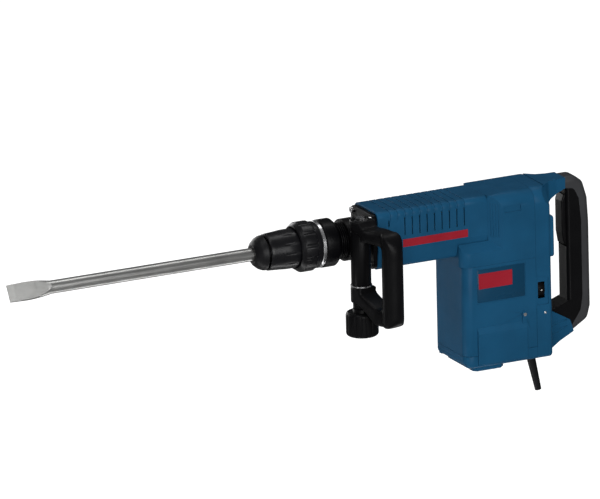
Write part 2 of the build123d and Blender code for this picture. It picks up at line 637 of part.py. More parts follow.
with BuildPart() as rear_shell:
    body_block(BODY_X1 + 0.3, REAR_X, BOTTOM_Z, TOP_Z)
    fillet(rear_shell.faces().sort_by(Axis.X)[-1].edges(), 5.9)
    for side in (1, -1):
        split(bisect_by=shoulder_plane(side, 0), keep=Keep.BOTTOM)
    add(rear_cavity.part, mode=Mode.SUBTRACT)
    with BuildSketch(Plane.XZ) as arms:
        with BuildLine():
            Polyline((86, TOP_Z), (HANDLE_JOINT_X, TOP_Z), (HANDLE_JOINT_X, HANDLE_JOINT_LOW), (116, 252),
                     (104, 246), (98, 239), (96, 229), (86, 229), close=True)
        make_face()
        with BuildLine():
            Polyline((86, 71), (103, 68), (135, 49), (141, 30), (98, 8.5), (86, BOTTOM_Z), close=True)
        make_face()
    arm_blocks = extrude(arms.sketch, amount=40, both=True, mode=Mode.PRIVATE)
    with BuildSketch(Plane.XY) as taper:
        with BuildLine():
            Polyline((80, -40), (88, -34), (100, -23), (116, -18.5), (142, -18), (142, 18), (116, 18.5),
                     (100, 23), (88, 34), (80, 40), close=True)
        make_face()
    add(arm_blocks & extrude(taper.sketch, amount=300, mode=Mode.PRIVATE))
    block(WHEEL_X0 - 0.4, WHEEL_X1 + 0.4, -OUTSIDE, -48, WHEEL_Z - 13, WHEEL_Z + 13, mode=Mode.SUBTRACT)
    side_plate([(59, 92), (81, 92), (81, 134), (66, 138), (59, 138)], -OUTSIDE, -BODY_HALF + 1.6,
               mode=Mode.SUBTRACT)
    rod((74, 0, BOTTOM_Z), 7.2, 12, (0, 0, 1), mode=Mode.SUBTRACT)
finish("rear_shell", rear_shell)

with BuildPart() as rear_plate:
    block(REAR_X, 95, -49, 49, 163, 228)
    fillet(rear_plate.edges().filter_by(Axis.X), 5)
    chamfer(rear_plate.faces().sort_by(Axis.X)[-1].edges(), 1.2)
finish("rear_plate", rear_plate)

# ---------------------------------------------------------------- rear loop handle
def grip_outline():
    """Outer loop of the rear handle, closed along the inside of the hand opening."""
    with BuildSketch(Plane.XZ) as outline:
        with BuildLine():
            Polyline(
                (HANDLE_JOINT_X + 0.2, TOP_Z), (149, TOP_Z), (163, 264), (170.5, 238), (GRIP_BACK, 200),
                (GRIP_BACK, 66), (167, 46), (141.2, 30), (135.2, 49), (104, 68.2), (GRIP_FRONT, 79),
                (GRIP_FRONT, HANDLE_JOINT_LOW), (HANDLE_JOINT_X + 0.2, HANDLE_JOINT_LOW), close=True,
            )
        make_face()
        fillet(outline.vertices().filter_by(lambda v: v.X > 142 and 40 < v.Y), 14)
    return outline.sketch


def core_limit():
    """Everything inside the soft outer cover of the rear handle."""
    with BuildSketch(Plane.XZ) as limit:
        with BuildLine():
            Polyline((100, 40), (138.5, 40), (153.5, 62), (157, 84), (157, 205), (153.5, 240), (145, 257),
                     (100, 257), close=True)
        make_face()
        fillet(limit.vertices().filter_by(lambda v: v.X > 140), 9)
    return limit.sketch


with BuildPart() as grip_body:
    extrude(grip_outline(), amount=GRIP_HALF, both=True)
    side_edges = grip_body.faces().filter_by(Axis.Y).edges()
    fillet(side_edges.filter_by(lambda e: e.center().X > 145), 9)
    fillet(side_edges.filter_by(lambda e: abs(e.center().X - GRIP_FRONT) < 0.1), 7)

with BuildPart() as grip_cover:
    add(grip_body.part)
    extrude(core_limit(), amount=GRIP_HALF + 1, both=True, mode=Mode.SUBTRACT)
finish("grip_cover", grip_cover)

with BuildPart() as grip_core:
    add(grip_body.part)
    extrude(core_limit(), amount=GRIP_HALF - 0.5, both=True, mode=Mode.INTERSECT)
    block(110, SWITCH_X0, -TRIGGER_HALF - GAP, TRIGGER_HALF + GAP, 164, 247, mode=Mode.SUBTRACT)
    block(SWITCH_X0 - 1, SWITCH_X1, -9, 9, 188, 232, mode=Mode.SUBTRACT)
    rod((TRIGGER_PIN_X, 0, TRIGGER_PIN_Z), 2.0, 31, (0, 1, 0), mode=Mode.SUBTRACT)
finish("grip_core", grip_core)

with BuildPart() as switch_body:
    block(SWITCH_X0, SWITCH_X1, -9, 9, 188, 232)
    chamfer(switch_body.edges().filter_by(Axis.Y), 1)
finish("switch_body", switch_body)

with BuildPart() as trigger_pin:
    rod((TRIGGER_PIN_X, 0, TRIGGER_PIN_Z), 2.0, 31, (0, 1, 0))
finish("trigger_pin", trigger_pin)

with BuildPart() as trigger:
    side_plate([(127.5, 236), (131, 246), (141.5, 246), (141.5, 240), (134.5, 232), (134, 168),
                (130.5, 167.5), (127.5, 186)], -TRIGGER_HALF, TRIGGER_HALF)
    fillet(trigger.edges().filter_by(Axis.Y).group_by(Axis.X)[0], 6)
    fillet(trigger.faces().filter_by(Axis.Y).edges().group_by(Axis.X)[0], 2)
    rod((TRIGGER_PIN_X, 0, TRIGGER_PIN_Z), 2.05, 40, (0, 1, 0), mode=Mode.SUBTRACT)
finish("trigger", trigger)

with BuildPart() as trigger_spring:
    coil(3.2, 0.45, 8.2, 4, (134.6, 0, 176), (1, 0, 0))
finish("trigger_spring", trigger_spring)

# ---------------------------------------------------------------- controls and cable entry
with BuildPart() as speed_wheel:
    rod(((WHEEL_X0 + WHEEL_X1) / 2, WHEEL_Y, WHEEL_Z), WHEEL_R, WHEEL_X1 - WHEEL_X0, (1, 0, 0), 3.05)
    for notch in range(24):
        angle = radians(15 * notch)
        rod((WHEEL_X0 + 4, WHEEL_Y + (WHEEL_R + 0.5) * cos(angle), WHEEL_Z + (WHEEL_R + 0.5) * sin(angle)),
            1.0, 20, (1, 0, 0), mode=Mode.SUBTRACT)
finish("speed_wheel", speed_wheel)

with BuildPart() as speed_module:
    rod((73.4, WHEEL_Y, WHEEL_Z), 3.0, 22.4, (1, 0, 0))
    block(76.5, 84.5, -50, -24, 92, 138)
    block(63, 76.5, -26, -24, 92, 138)
finish("speed_module", speed_module)

SLEEVE_LEAN = 12.3
with BuildPart() as cable_sleeve:
    sleeve_axis = Vector(sin(radians(SLEEVE_LEAN)), 0, -cos(radians(SLEEVE_LEAN)))
    sleeve_root = Vector(74, 0, 1.5)
    sleeve_end = sleeve_root + sleeve_axis * 62
    with BuildSketch(Plane(origin=sleeve_root, z_dir=sleeve_axis)) as wide_end:
        Circle(7.0)
    with BuildSketch(Plane(origin=sleeve_end, z_dir=sleeve_axis)) as narrow_end:
        Circle(5.0)
    loft([wide_end.sketch, narrow_end.sketch])
    post(74, 0, -1, 14, 7.0)
    post(74, 0, 10.1, 13, 10.5)
    rod(sleeve_root, 4.4, 180, sleeve_axis, mode=Mode.SUBTRACT)
finish("cable_sleeve", cable_sleeve)

with BuildPart() as cable_clamp:
    block(63, 84, -14, 14, 22, 30)
    rod((71.5, 0, 26), 4.0, 20, (0, 0, 1), mode=Mode.SUBTRACT)
finish("cable_clamp", cable_clamp)

# ---------------------------------------------------------------- side handle
HANDLE_PLANE = Plane(origin=(BOLT_X, BOLT_Y, 0),
                     x_dir=(cos(radians(HANDLE_TURN)), sin(radians(HANDLE_TURN)), 0),
                     z_dir=(-sin(radians(-HANDLE_TURN)), -cos(radians(-HANDLE_TURN)), 0))
HUB_TOP, HUB_LOW = 271.0, 131.0

with BuildPart() as clamp_band:
    tube(-241.5, -219.0, 32.5, NECK_R - 1)
    post(BOLT_X, BOLT_Y, 168.2, 252.8, 15.4)
    tube(-260, -200, NECK_R + GAP, 0, mode=Mode.SUBTRACT)
    post(BOLT_X, BOLT_Y, 100, 300, 5.3, mode=Mode.SUBTRACT)
finish("clamp_band", clamp_band)

with BuildPart() as clamp_washer:
    post(BOLT_X, BOLT_Y, 166.2, 168.0, 16.6, 5.1)
finish("clamp_washer", clamp_washer)

with BuildPart() as clamp_bolt:
    post(BOLT_X, BOLT_Y, 92, 267, 5.0)
    post(BOLT_X, BOLT_Y, 267, 269.0, 9.0)
    with BuildSketch(Plane(origin=(BOLT_X, BOLT_Y, 269.0))) as hexagon:
        RegularPolygon(7.5, 6)
    extrude(hexagon.sketch, amount=5)
finish("clamp_bolt", clamp_bolt)

with BuildPart() as side_grip:
    with BuildSketch(HANDLE_PLANE) as grip_profile:
        with BuildLine():
            Polyline(
                (0, HUB_TOP), (14, HUB_TOP), (24, 262), (48, 265), (93, 265), (93, 116), (52, 116),
                (10, 141), (0, 141), (0, 166), (16.4, 166), (16.4, 158), (62, 137), (62, 243),
                (18, 240), (17, 253), (0, 253), close=True,
            )
        make_face()
        fillet(grip_profile.vertices().filter_by(lambda v: v.X > 90 and v.Y > 200), 30)
        fillet(grip_profile.vertices().filter_by(lambda v: v.X > 90 and v.Y < 120), 17)
        fillet(grip_profile.vertices().filter_by(lambda v: v.X == 62), 7)
    extrude(grip_profile.sketch, amount=16.5, both=True)
    post(BOLT_X, BOLT_Y, 253, HUB_TOP, 16.0)
    post(BOLT_X, BOLT_Y, 141, 166, 16.6)
    post(BOLT_X, BOLT_Y, HUB_LOW, 142, 13.5)
    post(BOLT_X, BOLT_Y, 100, 300, 5.3, mode=Mode.SUBTRACT)
    post(BOLT_X, BOLT_Y, 266.8, 280, 10, mode=Mode.SUBTRACT)
finish("side_grip", side_grip)

with BuildPart() as clamp_knob:
    post(BOLT_X, BOLT_Y, 88, 125.6, 25.0)
    fillet(clamp_knob.edges().filter_by(GeomType.CIRCLE), 5)
    post(BOLT_X, BOLT_Y, 120, 130.7, 14.0)
    with Locations((BOLT_X, BOLT_Y, 112)):
        with PolarLocations(26.4, 18):
            Cylinder(2.4, 60, mode=Mode.SUBTRACT)
    post(BOLT_X, BOLT_Y, 91, 140, 5.05, mode=Mode.SUBTRACT)
finish("clamp_knob", clamp_knob)

# ---------------------------------------------------------------- fasteners
with BuildPart() as housing_screws:
    for x, y in SCREW_POSTS:
        post(x, y, BOTTOM_Z + 3, 52, 2.05)
        post(x, y, BOTTOM_Z + 0.6, BOTTOM_Z + 3, 4.0)
        block(x - 3, x + 3, y - 0.5, y + 0.5, BOTTOM_Z, BOTTOM_Z + 1.6, mode=Mode.SUBTRACT)
        block(x - 0.5, x + 0.5, y - 3, y + 3, BOTTOM_Z, BOTTOM_Z + 1.6, mode=Mode.SUBTRACT)
finish("housing_screws", housing_screws)

with BuildPart() as cover_screws:
    for side in (1, -1):
        rod((39, side * 57.0, 82), 2.6, 1.9, (0, 1, 0))
        rod((39, side * 53.6, 82), 1.6, 5.0, (0, 1, 0))
finish("cover_screws", cover_screws)
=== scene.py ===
import json
from math import cos, pi, radians, sin

import bmesh
import bpy
from mathutils import Matrix, Vector


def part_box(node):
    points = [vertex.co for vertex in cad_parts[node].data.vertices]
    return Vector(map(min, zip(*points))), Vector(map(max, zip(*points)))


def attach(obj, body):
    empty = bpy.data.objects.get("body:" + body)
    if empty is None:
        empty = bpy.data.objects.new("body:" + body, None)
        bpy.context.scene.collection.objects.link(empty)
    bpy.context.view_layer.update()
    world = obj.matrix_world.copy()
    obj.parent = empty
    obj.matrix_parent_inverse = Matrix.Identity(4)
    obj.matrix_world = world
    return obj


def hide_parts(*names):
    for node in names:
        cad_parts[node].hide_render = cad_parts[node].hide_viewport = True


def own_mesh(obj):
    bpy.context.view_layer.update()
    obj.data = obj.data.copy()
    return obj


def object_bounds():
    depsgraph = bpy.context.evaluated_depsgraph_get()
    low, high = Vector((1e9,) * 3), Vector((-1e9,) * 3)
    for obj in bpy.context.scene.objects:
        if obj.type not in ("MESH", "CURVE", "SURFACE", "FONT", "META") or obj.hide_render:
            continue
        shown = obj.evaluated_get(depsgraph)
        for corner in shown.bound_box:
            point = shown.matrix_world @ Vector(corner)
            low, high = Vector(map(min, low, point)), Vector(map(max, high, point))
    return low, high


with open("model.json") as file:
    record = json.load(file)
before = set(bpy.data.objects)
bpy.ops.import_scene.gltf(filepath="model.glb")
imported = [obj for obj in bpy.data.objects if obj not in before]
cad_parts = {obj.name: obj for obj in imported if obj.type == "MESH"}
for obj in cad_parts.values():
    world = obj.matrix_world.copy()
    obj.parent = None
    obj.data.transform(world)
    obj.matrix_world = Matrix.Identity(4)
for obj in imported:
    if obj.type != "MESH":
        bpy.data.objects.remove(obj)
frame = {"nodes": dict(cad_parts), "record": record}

CAD_LOW, CAD_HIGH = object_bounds()
NODES = frame["nodes"]
RECORD = frame["record"]
SLOT_OF = {row["node"]: row["material_slot"] for row in RECORD["subparts"]}
BODY_OF = {node: body for body, nodes in RECORD["behaviour"]["bodies"].items() for node in nodes}


# ---------------------------------------------------------------- camera
CAMERA_AZIMUTH, CAMERA_ELEVATION, CAMERA_ROLL = radians(26.0), radians(16.6), radians(-1.3)
CAMERA_TARGET = Vector((-0.3115, 0, 0.2235))
CAMERA_DISTANCE, CAMERA_RANGE = 36.36, 120    # metres
CAMERA_LENS, SENSOR_WIDTH = 1440.0, 36.0    # millimetres


def make_camera():
    """A long lens, well away, that looks at the tool from its left front side, slightly from above."""
    level, rise = cos(CAMERA_ELEVATION), sin(CAMERA_ELEVATION)
    right = Vector((cos(CAMERA_AZIMUTH), -sin(CAMERA_AZIMUTH), 0))
    back = Vector((-sin(CAMERA_AZIMUTH) * level, -cos(CAMERA_AZIMUTH) * level, rise))
    up = back.cross(right)
    rolled_right = cos(CAMERA_ROLL) * right + sin(CAMERA_ROLL) * up
    rolled_up = -sin(CAMERA_ROLL) * right + cos(CAMERA_ROLL) * up
    data = bpy.data.cameras.new("camera")
    data.lens, data.sensor_width = CAMERA_LENS, SENSOR_WIDTH
    data.clip_end = CAMERA_RANGE
    camera = bpy.data.objects.new("camera", data)
    rotation = Matrix((rolled_right, rolled_up, back)).transposed().to_4x4()
    camera.matrix_world = Matrix.Translation(CAMERA_TARGET + CAMERA_DISTANCE * back) @ rotation
    bpy.context.scene.collection.objects.link(camera)
    bpy.context.scene.camera = camera


make_camera()


# ---------------------------------------------------------------- materials
BLUE = (0.0095, 0.0700, 0.1480)
LABEL_SHADE = 0.62
LABEL_BLUE = tuple(c * LABEL_SHADE for c in BLUE)

# Moulded materials: colour, roughness, scale of the grain, its depth in metres, specular level.
PLASTICS = {
    "blue_plastic": (BLUE, 0.38, 1500, 0.00003, 0.05),
    "black_plastic": ((0.0035, 0.0035, 0.004), 0.36, 1300, 0.00003, 0.08),
    "chuck_black": ((0.004, 0.004, 0.005), 0.30, 700, 0.00004, 0.2),
    "cast_black": ((0.0015, 0.0015, 0.002), 0.34, 420, 0.00020, 0.08),
    "black_rubber": ((0.005, 0.005, 0.006), 0.42, 900, 0.00004, 0.15),
    "grey_rubber": ((0.040, 0.041, 0.044), 0.50, 1100, 0.00005, 0.1),
    "badge_red": ((0.30, 0.010, 0.022), 0.35, 1500, 0.00001, 0.2),
    "white_plastic": ((0.6, 0.6, 0.57), 0.4, 1000, 0.00002, 0.2),
    "carbon": ((0.02, 0.02, 0.02), 0.7, 900, 0.00003, 0.2),
    "label_blue": (LABEL_BLUE, 0.3, 1500, 0.00001, 0.1),
}

# Metals: colour, roughness and the axis along which the fine lines run.
METALS = {
    "chisel_steel": ((0.40, 0.40, 0.39), 0.34, "X"),
    "bright_steel": ((0.55, 0.55, 0.56), 0.25, "Z"),
    "tool_steel": ((0.30, 0.30, 0.31), 0.3, "X"),
    "spring_steel": ((0.4, 0.4, 0.4), 0.28, "X"),
    "cast_aluminium": ((0.62, 0.62, 0.63), 0.45, "Z"),
    "laminated_steel": ((0.3, 0.31, 0.33), 0.4, "X"),
    "copper": ((0.75, 0.33, 0.16), 0.3, "Y"),
    "brass": ((0.75, 0.55, 0.25), 0.3, "Z"),
}


def material_base(name, colour, roughness, metallic=0.0):
    """New material, its node tree and its shader."""
    material = bpy.data.materials.new(name)
    material.use_nodes = True
    tree = material.node_tree
    shader = tree.nodes["Principled BSDF"]
    shader.inputs["Base Color"].default_value = (*colour, 1)
    shader.inputs["Roughness"].default_value = roughness
    shader.inputs["Metallic"].default_value = metallic
    return material, tree, shader


def noise(tree, scale, detail, stretch=(1, 1, 1)):
    """Noise value in object space; a stretch below 1 draws it out along that axis."""
    coordinates = tree.nodes.new("ShaderNodeTexCoord")
    mapping = tree.nodes.new("ShaderNodeMapping")
    mapping.inputs["Scale"].default_value = stretch
    texture = tree.nodes.new("ShaderNodeTexNoise")
    texture.inputs["Scale"].default_value = scale
    texture.inputs["Detail"].default_value = detail
    tree.links.new(coordinates.outputs["Object"], mapping.inputs["Vector"])
    tree.links.new(mapping.outputs["Vector"], texture.inputs["Vector"])
    return texture.outputs["Fac"]


def remap(tree, value, low, high, to_low, to_high):
    """Linear change of a value's range."""
    node = tree.nodes.new("ShaderNodeMapRange")
    node.inputs["From Min"].default_value = low
    node.inputs["From Max"].default_value = high
    node.inputs["To Min"].default_value = to_low
    node.inputs["To Max"].default_value = to_high
    tree.links.new(value, node.inputs["Value"])
    return node.outputs["Result"]


def mix_colour(tree, factor, first, second):
    """Colour that goes from first to second with a factor."""
    node = tree.nodes.new("ShaderNodeMix")
    node.data_type = "RGBA"
    tree.links.new(factor, node.inputs["Factor"])
    node.inputs["A"].default_value = (*first, 1)
    node.inputs["B"].default_value = (*second, 1)
    return node.outputs["Result"]


def add_bump(tree, shader, height, distance):
    """Bump from a height value, with its depth in metres."""
    node = tree.nodes.new("ShaderNodeBump")
    node.inputs["Distance"].default_value = distance
    node.inputs["Strength"].default_value = 1.0
    tree.links.new(height, node.inputs["Height"])
    tree.links.new(node.outputs["Normal"], shader.inputs["Normal"])


def moulded_plastic(name, colour, roughness, grain, grain_depth, specular):
    """Moulded plastic or rubber with a fine grain, faint smudges and slightly uneven gloss."""
    smudge_scale, smudge_shade, gloss_scale = 14, 0.8, 45
    smoother, rougher = roughness - 0.05, roughness + 0.08
    material, tree, shader = material_base(name, colour, roughness)
    shader.inputs["Specular IOR Level"].default_value = specular
    smudge = remap(tree, noise(tree, smudge_scale, 4), 0.35, 0.7, 0, 1)
    smudge_colour = tuple(c * smudge_shade for c in colour)
    tree.links.new(mix_colour(tree, smudge, colour, smudge_colour), shader.inputs["Base Color"])
    gloss = remap(tree, noise(tree, gloss_scale, 5), 0.3, 0.7, smoother, rougher)
    tree.links.new(gloss, shader.inputs["Roughness"])
    add_bump(tree, shader, noise(tree, grain, 2), grain_depth)
    return material


def brushed_metal(name, colour, roughness, along):
    """Metal with fine lines along an axis and slightly stained colour."""
    line_scale, line_stretch, line_depth = 700, 0.02, 0.000002
    stain_scale, stain_shade = 30, 0.8
    smoother, rougher = roughness - 0.03, roughness + 0.05
    material, tree, shader = material_base(name, colour, roughness, 1.0)
    stretch = [1.0, 1.0, 1.0]
    stretch["XYZ".index(along)] = line_stretch
    lines = noise(tree, line_scale, 1, stretch)
    stain = remap(tree, noise(tree, stain_scale, 5), 0.45, 0.75, 0, 1)
    stain_colour = tuple(c * stain_shade for c in colour)
    tree.links.new(mix_colour(tree, stain, colour, stain_colour), shader.inputs["Base Color"])
    gloss = remap(tree, lines, 0.3, 0.7, smoother, rougher)
    tree.links.new(gloss, shader.inputs["Roughness"])
    add_bump(tree, shader, lines, line_depth)
    return material


def make_materials():
    """Every material by its name: one for each slot of the record, and one for the plain labels."""
    made = {name: moulded_plastic(name, *look) for name, look in PLASTICS.items()}
    made.update({name: brushed_metal(name, *look) for name, look in METALS.items()})
    return made


MATERIALS = make_materials()


# ---------------------------------------------------------------- studio
SKY_STRENGTH = 0.30
HORIZON_STOP, HORIZON_COLOUR = 0.35, (0.16, 0.17, 0.18, 1)
OVERHEAD_STOP, OVERHEAD_COLOUR = 0.95, (1, 1, 1, 1)
BACKDROP_COLOUR = (1, 1, 1, 1)
FLOOR_COLOUR, FLOOR_ROUGHNESS = (0.25, 0.25, 0.25), 0.9
FLOOR_HALF, FLOOR_DROP = 30.0, 0.35    # half its width and its depth below the tool, in metres

# Lamps: place, the point it faces, length and width in metres, power in watts.
MIDDLE = (-0.25, 0, 0.15)
LAMPS = {
    "overhead_lamp": ((-0.3, 0.1, 2.3), MIDDLE, (3.4, 0.5), 20),
    "side_lamp": ((-0.7, -2.9, 0.9), MIDDLE, (2.8, 1.8), 96),
    "back_lamp": ((-1.0, 2.8, 0.5), MIDDLE, (2.8, 1.8), 50),
    "low_lamp": ((-0.5, 0, CAD_LOW[2] - 0.3), (-0.5, 0, 0.2), (1.5, 0.12), 2.5),
    "corner_lamp": ((-1.8, -0.8, -0.25), MIDDLE, (0.5, 0.5), 1.0),
}


def make_sky():
    """Studio sky, bright overhead and grey at the horizon, behind a plain white backdrop.

    The camera sees the backdrop, and the tool is lit by the sky.
    """
    world = bpy.data.worlds.new("sky")
    world.use_nodes = True
    tree = world.node_tree
    coordinates = tree.nodes.new("ShaderNodeTexCoord")
    split = tree.nodes.new("ShaderNodeSeparateXYZ")
    ramp = tree.nodes.new("ShaderNodeValToRGB")
    horizon, overhead = ramp.color_ramp.elements
    horizon.position, horizon.color = HORIZON_STOP, HORIZON_COLOUR
    overhead.position, overhead.color = OVERHEAD_STOP, OVERHEAD_COLOUR
    sky = tree.nodes["Background"]
    sky.inputs["Strength"].default_value = SKY_STRENGTH
    backdrop = tree.nodes.new("ShaderNodeBackground")
    backdrop.inputs["Color"].default_value = BACKDROP_COLOUR
    path = tree.nodes.new("ShaderNodeLightPath")
    either = tree.nodes.new("ShaderNodeMixShader")
    tree.links.new(coordinates.outputs["Generated"], split.inputs["Vector"])
    tree.links.new(split.outputs["Z"], ramp.inputs["Fac"])
    tree.links.new(ramp.outputs["Color"], sky.inputs["Color"])
    tree.links.new(path.outputs["Is Camera Ray"], either.inputs["Fac"])
    tree.links.new(sky.outputs["Background"], either.inputs[1])
    tree.links.new(backdrop.outputs["Background"], either.inputs[2])
    tree.links.new(either.outputs["Shader"], tree.nodes["World Output"].inputs["Surface"])
    bpy.context.scene.world = world


def make_floor():
    """Plain pale floor, well below the lowest point, seen as white as the backdrop."""
    height = CAD_LOW[2] - FLOOR_DROP
    signs = ((-1, -1), (1, -1), (1, 1), (-1, 1))
    corners = [(x * FLOOR_HALF, y * FLOOR_HALF, height) for x, y in signs]
    mesh = bpy.data.meshes.new("floor")
    mesh.from_pydata(corners, [], [(0, 1, 2, 3)])
    floor = bpy.data.objects.new("floor", mesh)
    bpy.context.scene.collection.objects.link(floor)
    material, tree, shader = material_base("floor", FLOOR_COLOUR, FLOOR_ROUGHNESS)
    path = tree.nodes.new("ShaderNodeLightPath")
    tree.links.new(path.outputs["Is Camera Ray"], shader.inputs["Emission Color"])
    shader.inputs["Emission Strength"].default_value = 1.0
    mesh.materials.append(material)


def make_lamps():
    """A long lamp overhead, a large one on each side and two weak ones low down."""
    for name, (place, aim, size, power) in LAMPS.items():
        data = bpy.data.lights.new(name, "AREA")
        data.shape = "RECTANGLE"
        data.size, data.size_y = size
        data.energy = power
        lamp = bpy.data.objects.new(name, data)
        lamp.location = place
        lamp.rotation_euler = (Vector(aim) - Vector(place)).to_track_quat("-Z", "Y").to_euler()
        bpy.context.scene.collection.objects.link(lamp)


make_sky()
make_floor()
make_lamps()
bpy.context.scene.view_settings.view_transform = "Standard"


# ---------------------------------------------------------------- CAD nodes
WELD_DISTANCE = 0.000005    # points nearer than this are one point

# Outer pieces whose sharp edges are softened, with the radius in metres.
SOFT_EDGES = {
    "barrel_shell": 0.0007, "gear_housing": 0.0008, "motor_housing": 0.0006, "bottom_cover": 0.0007,
    "side_cover_left": 0.0006, "side_cover_right": 0.0006, "rear_shell": 0.0010, "rear_plate": 0.0010,
    "neck": 0.0006, "clamp_band": 0.0010, "clamp_knob": 0.0006, "vario_ring": 0.0007,
    "locking_sleeve": 0.0006, "dust_cap": 0.0005, "grip_core": 0.0008, "grip_cover": 0.0008,
    "chisel": 0.0003, "trigger": 0.0008, "speed_wheel": 0.0003,
}


def weld(piece):
    """Joins the points of a piece that lie on each other."""
    modifier = piece.modifiers.new("weld", "WELD")
    modifier.merge_threshold = WELD_DISTANCE


def soften(piece, radius):
    """Welds a piece and rounds its edges that are sharper than a limit."""
    weld(piece)
    bevel = piece.modifiers.new("bevel", "BEVEL")
    bevel.width = radius
    bevel.segments = 2
    bevel.limit_method = "ANGLE"
    bevel.angle_limit = radians(28)
    bevel.harden_normals = True


def dress_cad_nodes():
    """Gives every CAD node its slot's material, and the outer ones softened edges."""
    for name, node in NODES.items():
        node.data.materials.clear()
        node.data.materials.append(MATERIALS[SLOT_OF[name]])
        if name in SOFT_EDGES:
            soften(node, SOFT_EDGES[name])


dress_cad_nodes()


# ---------------------------------------------------------------- pieces that replace plain CAD solids
def add_piece(name, mesh, body, slot, stands_for=(), material=None):
    """Puts a finished mesh in the scene, on its body, in its material slot."""
    piece = bpy.data.objects.new(name, mesh)
    bpy.context.scene.collection.objects.link(piece)
    mesh.materials.clear()
    mesh.materials.append(MATERIALS[material or slot])
    for polygon in mesh.polygons:
        polygon.use_smooth = True
    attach(piece, body)
    for node in stands_for:
        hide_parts(node)
    return piece


def evaluated_mesh(piece):
    """New mesh of a piece with its modifiers applied."""
    return bpy.data.meshes.new_from_object(piece.evaluated_get(bpy.context.evaluated_depsgraph_get()))


def rounded_copy(node, voxel, rounds, weight):
    """Mesh of a node, remeshed and then relaxed for a number of rounds.

    weight gives how freely the point at a place moves, from 0 to 1.
    """
    mesh = NODES[node].data.copy()
    work = bpy.data.objects.new(node + "_work", mesh)
    bpy.context.scene.collection.objects.link(work)
    weld(work)
    remesh = work.modifiers.new("remesh", "REMESH")
    remesh.mode = "VOXEL"
    remesh.voxel_size = voxel
    remeshed = evaluated_mesh(work)
    bpy.data.objects.remove(work)
    bpy.data.meshes.remove(mesh)
    smooth_object = bpy.data.objects.new(node + "_smooth", remeshed)
    bpy.context.scene.collection.objects.link(smooth_object)
    group = smooth_object.vertex_groups.new(name="free")
    for vertex in remeshed.vertices:
        group.add([vertex.index], weight(vertex.co), "REPLACE")
    relax = smooth_object.modifiers.new("relax", "SMOOTH")
    relax.factor = 0.5
    relax.iterations = rounds
    relax.vertex_group = "free"
    result = evaluated_mesh(smooth_object)
    bpy.data.objects.remove(smooth_object)
    bpy.data.meshes.remove(remeshed)
    return result


def blend_share(value, start, end):
    """0 at start, 1 at end, with a soft step between."""
    share = min(1.0, max(0.0, (value - start) / (end - start)))
    return share * share * (3 - 2 * share)


def ovalled(first, second):
    """Moves a point of a square section, each coordinate from -1 to 1, into its inscribed oval."""
    first, second = max(-1.0, min(1.0, first)), max(-1.0, min(1.0, second))
    return first * (1 - second * second / 2) ** 0.5, second * (1 - first * first / 2) ** 0.5


def make_side_grip():
    """The D-handle: an oval grip on smooth arms, with a crisp hub round the bolt."""
    low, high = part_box("clamp_bolt")
    bolt = Vector(((low[0] + high[0]) / 2, (low[1] + high[1]) / 2, 0))
    turn = radians(-78)    # direction of the grip from the bolt
    along = Vector((cos(turn), sin(turn), 0))
    across = Vector((-sin(turn), cos(turn), 0))
    hub_radius, hub_fade, hub_freedom = 0.018, 0.010, 0.12
    grip_middle, grip_half, half_width = 0.0775, 0.0155, 0.0165
    grip_start, grip_full = 0.050, 0.068    # distances from the bolt
    arm_middle, arm_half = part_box("side_grip")[1][2] - 0.018, 0.012
    arm_start, arm_full, arm_share = 0.022, 0.034, 0.7
    upper_start, upper_full = 0.215, 0.230    # heights that part the upper arm from the lower

    def weight(point):
        reach = ((point[0] - bolt[0]) ** 2 + (point[1] - bolt[1]) ** 2) ** 0.5
        return min(1.0, max(hub_freedom, (reach - hub_radius) / hub_fade))

    mesh = rounded_copy("side_grip", 0.0013, 60, weight)
    for vertex in mesh.vertices:
        offset = vertex.co - bolt
        reach, side, height = offset.dot(along), offset.dot(across), vertex.co.z
        upright = blend_share(reach, grip_start, grip_full)
        level = arm_share * blend_share(reach, arm_start, arm_full) * (1 - upright)
        level *= blend_share(height, upper_start, upper_full)
        oval_reach, oval_side = ovalled((reach - grip_middle) / grip_half, side / half_width)
        arm_side = ovalled((height - arm_middle) / arm_half, side / half_width)[1]
        reach += upright * (grip_middle + grip_half * oval_reach - reach)
        side += upright * (half_width * oval_side - side) + level * (half_width * arm_side - side)
        vertex.co = bolt + along * reach + across * side + Vector((0, 0, height))
    add_piece("side_grip_moulded", mesh, "side_handle", "black_plastic", ["side_grip"])


def make_springs():
    """Both return springs, each as its own copy of its CAD mesh on the body of its part."""
    travel = {"sleeve_spring": ("sleeve_pull", 0.012), "trigger_spring": ("trigger_press", 0.0064)}
    for node, (joint, distance) in travel.items():
        piece = add_piece(node + "_coil", NODES[node].data.copy(), BODY_OF[node], SLOT_OF[node], [node])
        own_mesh(piece)


make_side_grip()
make_springs()


# ---------------------------------------------------------------- small details on the housings
def mesh_from(name, build):
    """Mesh filled by a function that works on a bmesh."""
    work = bmesh.new()
    build(work)
    bmesh.ops.recalc_face_normals(work, faces=work.faces)
    mesh = bpy.data.meshes.new(name)
    work.to_mesh(mesh)
    work.free()
    return mesh


def sweep_ring(work, path, section):
    """Closed tube: one ring of section points at each place of the path, with both ends capped."""
    rings = [[work.verts.new(point) for point in section(place)] for place in path]
    count = len(rings[0])
    for first, second in zip(rings, rings[1:]):
        for index in range(count):
            after = (index + 1) % count
            work.faces.new((first[index], first[after], second[after], second[index]))
    work.faces.new(list(reversed(rings[0])))
    work.faces.new(rings[-1])


def ring_angles(count):
    """Angles of evenly spaced points round a circle."""
    return [2 * pi * index / count for index in range(count)]


